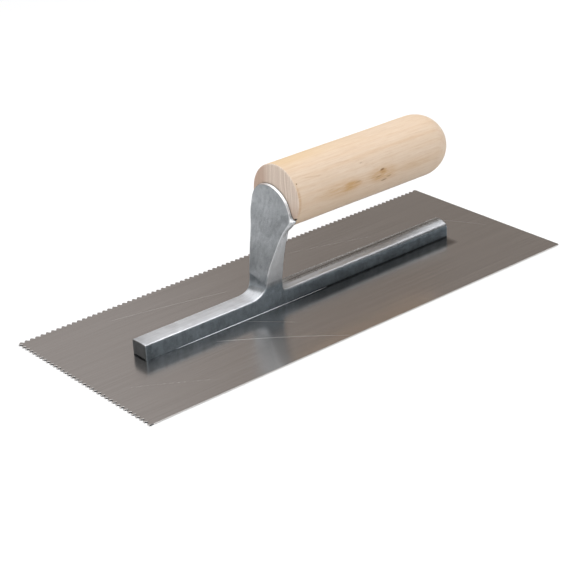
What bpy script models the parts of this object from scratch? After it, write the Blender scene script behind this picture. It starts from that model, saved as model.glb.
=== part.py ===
"""Notched trowel for spreading adhesive.

A flat steel blade carries V notches along one long edge and one short edge. A cast aluminium mounting,
made of a bar, a leaning post and an arched flange in one casting, is riveted along the blade's centreline.
A turned wooden handle is drawn up against the flange by a long bolt from its domed end.

Every size is written in millimetres and turned into metres where the meshes are made. The origin is the
middle of the blade's underside, +X runs along the blade towards the handle's domed end, +Y points to the
notched long edge and +Z points up.
"""
import math

import bmesh
import bpy
from mathutils import Matrix, Vector

MM = 0.001
MERGE_DISTANCE = 0.00001

# Blade
BLADE_LENGTH = 279.4
BLADE_WIDTH = 114.3
BLADE_THICKNESS = 0.8
NOTCH_PITCH = 3.175
NOTCH_DEPTH = 1.6
NOTCH_HALF_MOUTH = 1.15
NOTCH_ROOT_RADIUS = 0.25
LONG_EDGE_NOTCHES = 87
SHORT_EDGE_NOTCHES = 35

# Rivets that hold the mounting on the blade
RIVET_X = (-90.0, -60.0, -30.0, 0.0, 30.0, 60.0, 90.0)
RIVET_HEAD_RADIUS = 3.2
RIVET_SHANK_RADIUS = 1.9
RIVET_HEAD_HEIGHT = 0.75
RIVET_TOP = 6.4
HOLE_CLEARANCE = 0.35

# Bar along the blade
BAR_END = 104.2
BAR_BOTTOM = BLADE_THICKNESS + 0.3
BAR_HALF_WIDTH = 5.9
BAR_END_HALF_WIDTH = 5.6
BAR_EDGE_Z = 9.2
BAR_HEEL_EDGE_Z = 8.3
BAR_TOE_CROWN = 0.25
BAR_POST_CROWN = 0.7
BAR_HEEL_CROWN = 2.7
TOE_RELIEF_SIZE = (3.0, 9.2, 1.4)
POST_TOE_X = -34.8
POST_HEEL_X = -15.5

# Handle: the middle of its flat front end, and how far it stands off the blade's own direction
HANDLE_FRONT = Vector((-13.1, 0.0, 59.45))
HANDLE_YAW = math.radians(2.5)
HANDLE_PITCH = math.radians(-1.45)
HANDLE_RADIUS = 17.15
HANDLE_STRAIGHT = 102.4
HANDLE_DOME = 18.2
HANDLE_EDGE_ROUND = 0.7
HANDLE_BORE_RADIUS = 2.8
SPIGOT_RADIUS = 4.3
SPIGOT_START = -1.4
SPIGOT_LENGTH = 6.0
SPIGOT_SOCKET_RADIUS = 4.7
SPIGOT_SOCKET_DEPTH = 6.5
BUTT_RECESS_RADIUS = 6.6
BUTT_RECESS_FLOOR = 108.0
SEAT_GAP = 0.3

# Bolt through the handle
BOLT_RADIUS = 2.3
BOLT_START = -0.7
BOLT_HOLE_RADIUS = 2.7
BOLT_HOLE_START = -1.1
WASHER_RADIUS = 6.0
WASHER_HOLE_RADIUS = 2.8
WASHER_THICKNESS = 1.2
BOLT_HEAD_HEIGHT = 3.8
BOLT_HEAD_CORNER_RADIUS = 4.62

ROUND_SEGMENTS = 64
SMALL_ROUND_SEGMENTS = 32


def clear_scene():
    """Remove every object that the new file starts with."""
    for old_object in list(bpy.data.objects):
        bpy.data.objects.remove(old_object, do_unlink=True)


def make_material(name, colour, metallic, roughness):
    """Return a Principled material of one plain colour."""
    material = bpy.data.materials.new(name)
    material.use_nodes = True
    shader = material.node_tree.nodes["Principled BSDF"]
    shader.inputs["Base Color"].default_value = (*colour, 1.0)
    shader.inputs["Metallic"].default_value = metallic
    shader.inputs["Roughness"].default_value = roughness
    return material


def finish_object(name, shape, material, smooth=False):
    """Turn a bmesh in millimetres into a named object in metres whose faces look outwards."""
    bmesh.ops.remove_doubles(shape, verts=shape.verts, dist=MERGE_DISTANCE / MM)
    bmesh.ops.recalc_face_normals(shape, faces=shape.faces)
    bmesh.ops.scale(shape, vec=(MM, MM, MM), verts=shape.verts)
    mesh = bpy.data.meshes.new(name)
    shape.to_mesh(mesh)
    shape.free()
    if smooth:
        mesh.shade_smooth()
    result = bpy.data.objects.new(name, mesh)
    bpy.context.scene.collection.objects.link(result)
    if material is not None:
        mesh.materials.append(material)
    return result


def hide_cutter(cutter):
    """Keep a cutting shape out of the finished part."""
    cutter.hide_render = True
    cutter.display_type = "WIRE"


def combine(target, other, operation):
    """Add a boolean modifier that joins or cuts the target with the other shape."""
    modifier = target.modifiers.new(operation.title(), "BOOLEAN")
    modifier.operation = operation
    modifier.solver = "EXACT"
    modifier.object = other
    hide_cutter(other)


def handle_frame():
    """Return the placement of the handle: local +X is its axis and the origin is its front end."""
    turn = Matrix.Rotation(HANDLE_YAW, 4, "Z") @ Matrix.Rotation(-HANDLE_PITCH, 4, "Y")
    return Matrix.Translation(HANDLE_FRONT) @ turn


def turned_shape(profile, segments, closed):
    """Turn a profile of (distance along X, radius) points round the X axis.

    A closed profile makes a ring-shaped solid. An open one starts and ends with a flat disc.
    """
    shape = bmesh.new()
    rings = []
    for along, radius in profile:
        ring = []
        for step in range(segments):
            angle = 2.0 * math.pi * (step + 0.5) / segments
            ring.append(shape.verts.new((along, radius * math.cos(angle), radius * math.sin(angle))))
        rings.append(ring)
    pairs = list(zip(rings[:-1], rings[1:]))
    if closed:
        pairs.append((rings[-1], rings[0]))
    else:
        shape.faces.new(rings[0])
        shape.faces.new(rings[-1])
    for first, second in pairs:
        for step in range(segments):
            after = (step + 1) % segments
            shape.faces.new((first[step], first[after], second[after], second[step]))
    return shape


def notch_outline():
    """Return the points of one V notch as (distance along the edge, depth into the metal)."""
    side_angle = math.atan2(NOTCH_HALF_MOUTH - 0.2, NOTCH_DEPTH - 0.3)
    points = [(NOTCH_HALF_MOUTH, 0.0)]
    steps = 4
    for step in range(steps + 1):
        angle = side_angle + (math.pi - 2.0 * side_angle) * step / steps
        along = NOTCH_ROOT_RADIUS * math.cos(angle)
        depth = NOTCH_DEPTH - NOTCH_ROOT_RADIUS + NOTCH_ROOT_RADIUS * math.sin(angle)
        points.append((along, depth))
    points.append((-NOTCH_HALF_MOUTH, 0.0))
    return points


def blade_outline():
    """Return the blade's outline, anticlockwise from the plain corner on the -X side."""
    end_x = BLADE_LENGTH / 2.0
    end_y = BLADE_WIDTH / 2.0
    outline = [(-end_x, -end_y), (end_x, -end_y), (end_x, end_y)]
    for number in range(LONG_EDGE_NOTCHES, 0, -1):
        middle = -end_x + NOTCH_PITCH * number
        for along, depth in notch_outline():
            outline.append((middle + along, end_y - depth))
    # Half a notch from each edge meets at the corner and takes its point off.
    ratio = NOTCH_DEPTH / NOTCH_HALF_MOUTH
    cut = NOTCH_HALF_MOUTH * NOTCH_DEPTH / (NOTCH_HALF_MOUTH + NOTCH_DEPTH)
    outline.append((-end_x + NOTCH_DEPTH, end_y))
    outline.append((-end_x + cut, end_y - cut))
    outline.append((-end_x, end_y - NOTCH_HALF_MOUTH * ratio))
    for number in range(1, SHORT_EDGE_NOTCHES + 1):
        middle = end_y - NOTCH_PITCH * number
        for along, depth in notch_outline():
            outline.append((-end_x + depth, middle + along))
    return outline


def extruded_shape(outline, bottom, top):
    """Make a flat solid from an outline and two heights."""
    shape = bmesh.new()
    lower = [shape.verts.new((x, y, bottom)) for x, y in outline]
    upper = [shape.verts.new((x, y, top)) for x, y in outline]
    count = len(outline)
    for step in range(count):
        after = (step + 1) % count
        shape.faces.new((lower[step], lower[after], upper[after], upper[step]))
    shape.faces.new(lower)
    shape.faces.new(upper)
    return shape


def upright(shape, x, y):
    """Turn a shape made along X so that it stands along Z at the given place."""
    bmesh.ops.rotate(shape, verts=shape.verts, cent=(0, 0, 0), matrix=Matrix.Rotation(-math.pi / 2.0, 3, "Y"))
    bmesh.ops.translate(shape, verts=shape.verts, vec=(x, y, 0.0))
    return shape


def make_blade(material):
    """Make the notched sheet with a countersunk hole for each rivet."""
    blade = finish_object("blade", extruded_shape(blade_outline(), 0.0, BLADE_THICKNESS), material)
    for number, x in enumerate(RIVET_X, start=1):
        # The cutter starts below the blade at its cone's own slope, so that the hole's rim is clean.
        overshoot = 0.2
        slope = (RIVET_HEAD_RADIUS - RIVET_SHANK_RADIUS) / RIVET_HEAD_HEIGHT
        wide = RIVET_HEAD_RADIUS + HOLE_CLEARANCE
        narrow = RIVET_SHANK_RADIUS + HOLE_CLEARANCE
        profile = [
            (-overshoot, wide + slope * overshoot),
            (RIVET_HEAD_HEIGHT, narrow),
            (BLADE_THICKNESS + overshoot, narrow),
        ]
        cutter = finish_object(
            "blade_hole_cutter_%d" % number,
            upright(turned_shape(profile, SMALL_ROUND_SEGMENTS, False), x, 0.0),
            None,
        )
        combine(blade, cutter, "DIFFERENCE")
    return blade


def make_rivets(material):
    """Make the countersunk rivets, flush with the blade's underside."""
    for number, x in enumerate(RIVET_X, start=1):
        profile = [
            (0.0, RIVET_HEAD_RADIUS),
            (RIVET_HEAD_HEIGHT, RIVET_SHANK_RADIUS),
            (RIVET_TOP - 0.4, RIVET_SHANK_RADIUS),
            (RIVET_TOP, RIVET_SHANK_RADIUS - 0.4),
        ]
        shape = upright(turned_shape(profile, SMALL_ROUND_SEGMENTS, False), x, 0.0)
        finish_object("rivet_%d" % number, shape, material)


def bar_section(x):
    """Return the bar's half width, top edge height and crown at one place along it."""
    if x <= POST_TOE_X:
        share = (POST_TOE_X - x) / (BAR_END + POST_TOE_X)
        half = BAR_HALF_WIDTH + (BAR_END_HALF_WIDTH - BAR_HALF_WIDTH) * share
        return half, BAR_EDGE_Z, BAR_TOE_CROWN
    if x <= POST_HEEL_X:
        return BAR_HALF_WIDTH, BAR_EDGE_Z, 0.0
    share = (x - POST_HEEL_X) / (BAR_END - POST_HEEL_X)
    half = BAR_HALF_WIDTH + (BAR_END_HALF_WIDTH - BAR_HALF_WIDTH) * share
    edge = BAR_EDGE_Z + (BAR_HEEL_EDGE_Z - BAR_EDGE_Z) * share
    crown = BAR_POST_CROWN + (BAR_HEEL_CROWN - BAR_POST_CROWN) * share
    return half, edge, crown


# The casting's cage has five columns across. These are their places, from -1 to +1.
COLUMNS = (-1.0, -0.55, 0.0, 0.55, 1.0)
BAR_STATIONS = (
    -104.2, -101.8, -96.0, -70.0, -42.0, -34.8, -28.5, -21.5, -15.5, -8.0, 30.0, 70.0, 96.0, 101.8, 104.2,
)
POST_FIRST_STATION = BAR_STATIONS.index(POST_TOE_X)
POST_LAST_STATION = BAR_STATIONS.index(POST_HEEL_X)

# The post from the bar upwards: height, toe face x, heel face x, then the near and far y of the toe face
# and of the heel face. A heel face of None lies on the handle's seat.
POST_LEVELS = (
    (10.4, -31.6, -15.8, -5.9, 5.9, -5.9, 5.9),
    (12.6, -28.5, -15.9, -5.9, 5.9, -5.9, 5.9),
    (18.3, -27.9, -15.9, -5.95, 6.2, -5.9, 5.9),
    (25.0, -25.7, -14.8, -7.7, 9.4, -6.2, 7.3),
    (30.0, -23.9, -13.9, -8.8, 11.1, -6.5, 8.2),
    (37.0, -21.6, None, -10.2, 12.8, -8.0, 9.7),
    (42.9, -19.4, None, -11.3, 14.4, -9.3, 11.9),
)
# The flange above the post, up to its arch: the y and z of each column of the toe face, then of the heel
# face, and the flange's thickness.
FLANGE_LEVELS = (
    (
        ((-13.4, 49.2), (-6.4, 49.0), (2.0, 49.0), (10.3, 49.0), (16.7, 49.0)),
        ((-17.1, 50.6), (-7.6, 49.0), (1.4, 49.0), (10.3, 49.0), (17.2, 49.0)),
        3.0,
    ),
    (
        ((-12.8, 50.2), (-7.2, 54.6), (2.0, 57.4), (12.2, 55.3), (16.9, 51.3)),
        ((-13.6, 49.7), (-7.4, 54.6), (2.0, 57.4), (12.2, 55.3), (17.2, 51.3)),
        1.6,
    ),
    (
        ((-11.3, 53.0), (-9.3, 59.7), (1.9, 66.6), (13.7, 63.4), (17.1, 54.2)),
        ((-11.6, 53.0), (-9.6, 59.9), (1.9, 66.8), (14.0, 63.7), (17.4, 54.2)),
        1.15,
    ),
)
# The post stands on a block with upright sides. The block's top edge rises towards +Y, and its toe face is
# turned a little.
BLOCK_FOOT_LEVEL = 1
BLOCK_TOP_LEVEL = 2
BLOCK_TOP_RISE = 0.43
BLOCK_TOE_TURN = -0.11
BLOCK_CREASE = 0.62
BAR_CREASE = 0.38
POST_CREASE = 0.34
SHARP_CREASE = 1.0
# The flange's lug leaves the post's near side at a sharp inside corner.
LUG_LEVEL = 6
LUG_CREASE = 0.8


def seat_x(y, z):
    """Return the x of the handle's seat at one place on the flange's heel face."""
    axis = handle_frame().to_3x3() @ Vector((1.0, 0.0, 0.0))
    rest = -SEAT_GAP - (y - HANDLE_FRONT.y) * axis.y - (z - HANDLE_FRONT.z) * axis.z
    return HANDLE_FRONT.x + rest / axis.x


def across(near, far, column):
    """Return the y of one column between a near edge and a far edge."""
    return near + (far - near) * (column + 1.0) / 2.0


def post_rings():
    """Return the toe row and the heel row of cage points at each level above the bar."""
    rings = []
    for level, (z, toe_x, heel_x, toe_near, toe_far, heel_near, heel_far) in enumerate(POST_LEVELS):
        turn = BLOCK_TOE_TURN if level in (BLOCK_FOOT_LEVEL, BLOCK_TOP_LEVEL) else 0.0
        rise = BLOCK_TOP_RISE if level == BLOCK_TOP_LEVEL else 0.0
        toe = []
        heel = []
        for column in COLUMNS:
            toe_y = across(toe_near, toe_far, column)
            heel_y = across(heel_near, heel_far, column)
            toe.append(Vector((toe_x + turn * toe_y, toe_y, z + rise * toe_y)))
            heel_place = seat_x(heel_y, z) if heel_x is None else heel_x
            heel.append(Vector((heel_place, heel_y, z + rise * heel_y)))
        rings.append((toe, heel))
    for toe_columns, heel_columns, thickness in FLANGE_LEVELS:
        toe = [Vector((seat_x(y, z) - thickness, y, z)) for y, z in toe_columns]
        heel = [Vector((seat_x(y, z), y, z)) for y, z in heel_columns]
        rings.append((toe, heel))
    return rings


def casting_cage():
    """Build the cage of the casting: a bar whose top opens into the post and its flange."""
    shape = bmesh.new()
    crease = shape.edges.layers.float.new("crease_edge")
    last = len(COLUMNS) - 1
    sections = []
    for x in BAR_STATIONS:
        half, edge, crown = bar_section(x)
        tops = [shape.verts.new((x, half * c, edge + crown * (1.0 - c * c))) for c in COLUMNS]
        middle_z = (edge + BAR_BOTTOM) / 2.0
        middles = [shape.verts.new((x, half * c, middle_z)) for c in (-1.0, 1.0)]
        bottoms = [shape.verts.new((x, half * c, BAR_BOTTOM)) for c in COLUMNS]
        sections.append((tops, middles, bottoms))

    def mark(first, second, value):
        edge = shape.edges.get((first, second))
        edge[crease] = value

    for number in range(len(sections) - 1):
        tops, middles, bottoms = sections[number]
        next_tops, next_middles, next_bottoms = sections[number + 1]
        in_post = POST_FIRST_STATION <= number < POST_LAST_STATION
        for column in range(last):
            shape.faces.new((bottoms[column], bottoms[column + 1], next_bottoms[column + 1], next_bottoms[column]))
            if not in_post:
                shape.faces.new((tops[column], next_tops[column], next_tops[column + 1], tops[column + 1]))
        for side, column in ((0, 0), (1, last)):
            shape.faces.new((tops[column], middles[side], next_middles[side], next_tops[column]))
            shape.faces.new((middles[side], bottoms[column], next_bottoms[column], next_middles[side]))
            mark(bottoms[column], next_bottoms[column], SHARP_CREASE)
            if not in_post:
                mark(tops[column], next_tops[column], BAR_CREASE)
    for section in (sections[0], sections[-1]):
        tops, middles, bottoms = section
        middle_row = [middles[0]]
        for column in range(1, last):
            place = (tops[column].co + bottoms[column].co) / 2.0
            middle_row.append(shape.verts.new(place))
        middle_row.append(middles[1])
        for column in range(last):
            for upper, lower in ((tops, middle_row), (middle_row, bottoms)):
                shape.faces.new((upper[column], upper[column + 1], lower[column + 1], lower[column]))
            mark(tops[column], tops[column + 1], BAR_CREASE)
            mark(bottoms[column], bottoms[column + 1], SHARP_CREASE)
        for side, column in ((0, 0), (1, last)):
            mark(tops[column], middles[side], BAR_CREASE)
            mark(middles[side], bottoms[column], BAR_CREASE)

    # The ring of points round the opening in the bar's top, in the order of every ring above it.
    toe_row = sections[POST_FIRST_STATION][0]
    heel_row = sections[POST_LAST_STATION][0]
    between = range(POST_FIRST_STATION + 1, POST_LAST_STATION)
    near_row = [sections[number][0][0] for number in between]
    far_row = [sections[number][0][last] for number in between]
    lower = (toe_row, near_row, heel_row, far_row)
    ring_points = post_rings()
    for level, (toe_points, heel_points) in enumerate(ring_points):
        toe = [shape.verts.new(point) for point in toe_points]
        heel = [shape.verts.new(point) for point in heel_points]
        near = []
        far = []
        count = len(near_row)
        for step in range(1, count + 1):
            share = step / (count + 1.0)
            near.append(shape.verts.new(toe_points[0].lerp(heel_points[0], share)))
            far.append(shape.verts.new(toe_points[last].lerp(heel_points[last], share)))
        upper = (toe, near, heel, far)
        for below, above in (
            (lower[0], toe),
            (lower[2], heel),
            ([lower[0][0]] + lower[1] + [lower[2][0]], [toe[0]] + near + [heel[0]]),
            ([lower[0][last]] + lower[3] + [lower[2][last]], [toe[last]] + far + [heel[last]]),
        ):
            for step in range(len(below) - 1):
                shape.faces.new((below[step], below[step + 1], above[step + 1], above[step]))
        for below, above, value in (
            (lower[0], toe, POST_CREASE),
            (lower[2], heel, SHARP_CREASE if level > 5 else POST_CREASE),
        ):
            mark(below[0], above[0], value)
            mark(below[last], above[last], value)
        if level == BLOCK_TOP_LEVEL:
            loop = toe + far + heel[::-1] + near[::-1] + [toe[0]]
            for first, second in zip(loop[:-1], loop[1:]):
                mark(first, second, BLOCK_CREASE)
        if level == LUG_LEVEL:
            for first, second in zip(near, near[1:] + [heel[0]]):
                mark(first, second, LUG_CREASE)
        lower = upper
    # The rim of the arch closes the top ring.
    toe, near, heel, far = lower
    rows = [toe]
    for step in range(len(near)):
        row = [near[step]]
        share = (step + 1.0) / (len(near) + 1.0)
        for column in range(1, last):
            row.append(shape.verts.new(toe[column].co.lerp(heel[column].co, share)))
        row.append(far[step])
        rows.append(row)
    rows.append(heel)
    for first, second in zip(rows[:-1], rows[1:]):
        for column in range(last):
            shape.faces.new((first[column], first[column + 1], second[column + 1], second[column]))
    for column in range(last):
        mark(toe[column], toe[column + 1], BAR_CREASE)
        mark(heel[column], heel[column + 1], SHARP_CREASE)
    return shape


def make_mounting(material):
    """Make the casting, its spigot into the handle, and the holes for the bolt and the rivets."""
    mounting = finish_object("mounting", casting_cage(), material, smooth=True)
    smoothing = mounting.modifiers.new("Subdivision", "SUBSURF")
    smoothing.levels = 2
    smoothing.render_levels = 2
    frame = handle_frame()

    spigot_shape = turned_shape([(SPIGOT_START, SPIGOT_RADIUS), (SPIGOT_LENGTH, SPIGOT_RADIUS)], SMALL_ROUND_SEGMENTS, False)
    bmesh.ops.transform(spigot_shape, matrix=frame, verts=spigot_shape.verts)
    combine(mounting, finish_object("spigot_guide", spigot_shape, None), "UNION")

    profile = [(BOLT_HOLE_START, BOLT_HOLE_RADIUS), (SPIGOT_LENGTH + 1.0, BOLT_HOLE_RADIUS)]
    hole_shape = turned_shape(profile, SMALL_ROUND_SEGMENTS, False)
    bmesh.ops.transform(hole_shape, matrix=frame, verts=hole_shape.verts)
    combine(mounting, finish_object("bolt_hole_cutter", hole_shape, None), "DIFFERENCE")

    for number, x in enumerate(RIVET_X, start=1):
        radius = RIVET_SHANK_RADIUS + HOLE_CLEARANCE
        profile = [(BAR_BOTTOM - 0.5, radius), (RIVET_TOP + HOLE_CLEARANCE, radius)]
        shape = upright(turned_shape(profile, SMALL_ROUND_SEGMENTS, False), x, 0.0)
        combine(mounting, finish_object("rivet_hole_cutter_%d" % number, shape, None), "DIFFERENCE")
    # A shallow relief lifts the toe end's lower edge off the blade.
    relief = bmesh.new()
    bmesh.ops.create_cube(relief, size=1.0)
    bmesh.ops.scale(relief, vec=TOE_RELIEF_SIZE, verts=relief.verts)
    bmesh.ops.translate(relief, vec=(-BAR_END, 0.0, BAR_BOTTOM), verts=relief.verts)
    combine(mounting, finish_object("toe_relief_cutter", relief, None), "DIFFERENCE")
    return mounting


def make_handle(material):
    """Make the turned handle, bored through, with a socket in front and a recess in its domed end."""
    profile = []
    steps = 3
    for step in range(steps + 1):
        angle = math.pi / 2.0 * step / steps
        along = HANDLE_EDGE_ROUND * (1.0 - math.sin(angle))
        radius = HANDLE_RADIUS - HANDLE_EDGE_ROUND * (1.0 - math.cos(angle))
        profile.append((along, radius))
    profile.reverse()
    steps = 14
    rim_share = math.asin(math.sqrt(1.0 - (BUTT_RECESS_RADIUS / HANDLE_RADIUS) ** 2)) / (math.pi / 2.0)
    for step in range(steps + 1):
        angle = math.pi / 2.0 * rim_share * step / steps
        along = HANDLE_STRAIGHT + HANDLE_DOME * math.sin(angle)
        profile.append((along, HANDLE_RADIUS * math.cos(angle)))
    profile.append((BUTT_RECESS_FLOOR, BUTT_RECESS_RADIUS))
    profile.append((BUTT_RECESS_FLOOR, HANDLE_BORE_RADIUS))
    profile.append((SPIGOT_SOCKET_DEPTH, HANDLE_BORE_RADIUS))
    profile.append((SPIGOT_SOCKET_DEPTH, SPIGOT_SOCKET_RADIUS))
    profile.append((0.0, SPIGOT_SOCKET_RADIUS))
    shape = turned_shape(profile, ROUND_SEGMENTS, True)
    bmesh.ops.transform(shape, matrix=handle_frame(), verts=shape.verts)
    return finish_object("handle", shape, material, smooth=True)


def make_bolt(material):
    """Make the long bolt: a round shank and a hexagon head in the handle's recess."""
    head_start = BUTT_RECESS_FLOOR + SEAT_GAP + WASHER_THICKNESS + SEAT_GAP
    shank = turned_shape([(BOLT_START, BOLT_RADIUS), (head_start + 1.0, BOLT_RADIUS)], SMALL_ROUND_SEGMENTS, False)
    bmesh.ops.transform(shank, matrix=handle_frame(), verts=shank.verts)
    bolt = finish_object("handle_bolt", shank, material)
    head_end = head_start + BOLT_HEAD_HEIGHT
    head = turned_shape([(head_start, BOLT_HEAD_CORNER_RADIUS), (head_end, BOLT_HEAD_CORNER_RADIUS)], 6, False)
    bmesh.ops.transform(head, matrix=handle_frame(), verts=head.verts)
    combine(bolt, finish_object("bolt_head_guide", head, None), "UNION")
    return bolt


def make_washer(material):
    """Make the washer under the bolt's head."""
    start = BUTT_RECESS_FLOOR + SEAT_GAP
    end = start + WASHER_THICKNESS
    profile = [
        (start, WASHER_HOLE_RADIUS),
        (start, WASHER_RADIUS),
        (end, WASHER_RADIUS),
        (end, WASHER_HOLE_RADIUS),
    ]
    shape = turned_shape(profile, SMALL_ROUND_SEGMENTS, True)
    bmesh.ops.transform(shape, matrix=handle_frame(), verts=shape.verts)
    return finish_object("handle_washer", shape, material)


def main():
    """Build every piece of the trowel."""
    clear_scene()
    make_blade(make_material("Blade steel", (0.45, 0.43, 0.41), 1.0, 0.35))
    make_mounting(make_material("Cast aluminium", (0.62, 0.64, 0.66), 1.0, 0.45))
    make_handle(make_material("Handle wood", (0.80, 0.62, 0.42), 0.0, 0.6))
    make_bolt(make_material("Bolt steel", (0.55, 0.55, 0.56), 1.0, 0.3))
    make_washer(make_material("Washer steel", (0.58, 0.58, 0.59), 1.0, 0.3))
    make_rivets(make_material("Rivet steel", (0.52, 0.51, 0.50), 1.0, 0.3))


main()
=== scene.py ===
"""Notched trowel: the looks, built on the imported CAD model.

The blade, the casting and the handle are rebuilt with finer shapes that stand for their CAD nodes. The
bolt, its washer and the rivets stay as CAD nodes and get procedural finishes. Shapes are written in
millimetres and turned into metres when a mesh is made, and every piece rides on the one body, "root".
"""
import math

import bmesh
import bpy
from mathutils import Matrix, Vector, noise


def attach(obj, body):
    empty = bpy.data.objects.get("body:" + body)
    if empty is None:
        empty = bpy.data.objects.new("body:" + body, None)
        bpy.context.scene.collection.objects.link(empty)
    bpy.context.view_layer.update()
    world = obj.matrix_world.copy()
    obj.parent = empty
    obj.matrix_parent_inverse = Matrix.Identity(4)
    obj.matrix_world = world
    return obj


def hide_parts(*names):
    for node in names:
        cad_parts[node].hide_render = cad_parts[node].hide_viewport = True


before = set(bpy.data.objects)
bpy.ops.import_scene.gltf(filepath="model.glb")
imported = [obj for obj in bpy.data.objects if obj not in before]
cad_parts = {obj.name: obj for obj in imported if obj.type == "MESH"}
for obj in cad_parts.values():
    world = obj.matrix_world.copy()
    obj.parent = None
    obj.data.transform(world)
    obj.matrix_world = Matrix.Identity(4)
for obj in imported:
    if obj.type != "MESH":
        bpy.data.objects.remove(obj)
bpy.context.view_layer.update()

MM = 0.001

# Blade
BLADE_LENGTH = 279.4
BLADE_WIDTH = 114.3
BLADE_THICKNESS = 0.8
BLADE_EDGE_BREAK = 0.1
BLADE_CORNER_RADIUS = 0.8
NOTCH_PITCH = 3.175
NOTCH_DEPTH = 1.6
NOTCH_HALF_MOUTH = 1.15
NOTCH_ROOT_RADIUS = 0.25
# Where a notch's straight side points: how far from the notch's middle line, and how far from its bottom
NOTCH_SIDE_END = (0.2, 0.3)
LONG_EDGE_NOTCHES = 87
SHORT_EDGE_NOTCHES = 35

# Rivets
RIVET_PITCH = 30.0
RIVET_X = [RIVET_PITCH * number for number in range(-3, 4)]
RIVET_HEAD_RADIUS = 3.2
RIVET_SHANK_RADIUS = 1.9
RIVET_HEAD_HEIGHT = 0.75
RIVET_TOP = 6.4
RIVET_HOLE_CLEARANCE = 0.12
RIVET_HOLE_SEGMENTS = 32

# Bar along the blade
BAR_END = 104.2
BAR_BOTTOM = BLADE_THICKNESS + 0.05
BAR_HALF_WIDTH = 5.9
BAR_END_HALF_WIDTH = 5.6
BAR_EDGE_Z = 9.2
BAR_HEEL_EDGE_Z = 8.3
BAR_TOE_CROWN = 0.25
BAR_POST_CROWN = 0.7
BAR_HEEL_CROWN = 2.7
TOE_RELIEF_SIZE = (3.0, 9.2, 1.4)
POST_TOE_X = -34.8
POST_HEEL_X = -15.5

# Handle: the middle of its flat front end, and how far it stands off the blade's own direction
HANDLE_FRONT = Vector((-13.1, 0.0, 59.45))
HANDLE_YAW = math.radians(2.5)
HANDLE_PITCH = math.radians(-1.45)
HANDLE_RADIUS = 17.15
HANDLE_STRAIGHT = 102.4
HANDLE_DOME = 18.2
HANDLE_EDGE_ROUND = 0.7
HANDLE_SEGMENTS = 144
HANDLE_UNEVENNESS = 0.08
HANDLE_BORE_RADIUS = 2.8
SPIGOT_RADIUS = 4.3
SPIGOT_START = -1.4
SPIGOT_LENGTH = 6.0
SPIGOT_SOCKET_RADIUS = 4.7
SPIGOT_SOCKET_DEPTH = 6.5
BUTT_RECESS_RADIUS = 6.6
BUTT_RECESS_FLOOR = 108.0
BUTT_RIM_ROUND = 0.35
BUTT_RIM_DROP = 0.12
SEAT_GAP = 0.3
BOLT_HOLE_RADIUS = 2.7
BOLT_HOLE_START = -1.1
HOLE_SEGMENTS = 48

# Camera
CAMERA_PLACE = Vector((-0.50336, -0.61533, 0.38452))
CAMERA_HEADING = math.radians(51.171)
CAMERA_DIP = math.radians(25.621)
CAMERA_ROLL = math.radians(-3.029)
CAMERA_LENS = 104.19


# ---- meshes


def to_object(name, shape, material, sharp_angle=30.0):
    """Turn a bmesh in millimetres into an object in metres, smooth but for its sharp edges."""
    bmesh.ops.remove_doubles(shape, verts=shape.verts, dist=0.002)
    bmesh.ops.recalc_face_normals(shape, faces=shape.faces)
    bmesh.ops.scale(shape, vec=(MM, MM, MM), verts=shape.verts)
    mesh = bpy.data.meshes.new(name)
    shape.to_mesh(mesh)
    shape.free()
    mesh.shade_smooth()
    mesh.set_sharp_from_angle(angle=math.radians(sharp_angle))
    piece = bpy.data.objects.new(name, mesh)
    bpy.context.scene.collection.objects.link(piece)
    if material is not None:
        mesh.materials.append(material)
    return piece


def apply_modifiers(piece):
    """Replace a piece's mesh with what its modifiers make of it."""
    bpy.context.view_layer.update()
    made = piece.evaluated_get(bpy.context.evaluated_depsgraph_get())
    mesh = bpy.data.meshes.new_from_object(made)
    piece.modifiers.clear()
    piece.data = mesh


def cut_or_join(piece, shapes, operation):
    """Cut shapes that don't touch each other out of a piece, or join them to it."""
    together = bmesh.new()
    for shape in shapes:
        mesh = bpy.data.meshes.new("shape")
        shape.to_mesh(mesh)
        shape.free()
        together.from_mesh(mesh)
        bpy.data.meshes.remove(mesh)
    other = to_object("cutter", together, None)
    modifier = piece.modifiers.new(operation.title(), "BOOLEAN")
    modifier.operation = operation
    modifier.solver = "EXACT"
    modifier.object = other
    apply_modifiers(piece)
    bpy.data.objects.remove(other, do_unlink=True)


def skin(shape, first, second, closed=False):
    """Fill the strip between two rows, or two closed rings, of points with four-sided faces."""
    count = len(first)
    for index in range(count if closed else count - 1):
        after = (index + 1) % count
        shape.faces.new((first[index], first[after], second[after], second[index]))


def handle_frame():
    """Return the placement of the handle in millimetres: local +X is its axis."""
    turn = Matrix.Rotation(HANDLE_YAW, 4, "Z") @ Matrix.Rotation(-HANDLE_PITCH, 4, "Y")
    return Matrix.Translation(HANDLE_FRONT) @ turn


def turned_shape(profile, segments, closed=False):
    """Turn a profile of (distance along X, radius) points round the X axis."""
    shape = bmesh.new()
    rings = []
    for along, radius in profile:
        ring = []
        for step in range(segments):
            angle = 2.0 * math.pi * (step + 0.5) / segments
            ring.append(shape.verts.new((along, radius * math.cos(angle), radius * math.sin(angle))))
        rings.append(ring)
    pairs = list(zip(rings[:-1], rings[1:]))
    if closed:
        pairs.append((rings[-1], rings[0]))
    else:
        shape.faces.new(rings[0])
        shape.faces.new(rings[-1])
    for first, second in pairs:
        skin(shape, first, second, closed=True)
    return shape


def upright(shape, x, y):
    """Turn a shape made along X so that it stands along Z at the given place."""
    turn = Matrix.Rotation(-math.pi / 2.0, 3, "Y")
    bmesh.ops.rotate(shape, verts=shape.verts, cent=(0, 0, 0), matrix=turn)
    bmesh.ops.translate(shape, verts=shape.verts, vec=(x, y, 0.0))
    return shape


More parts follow.
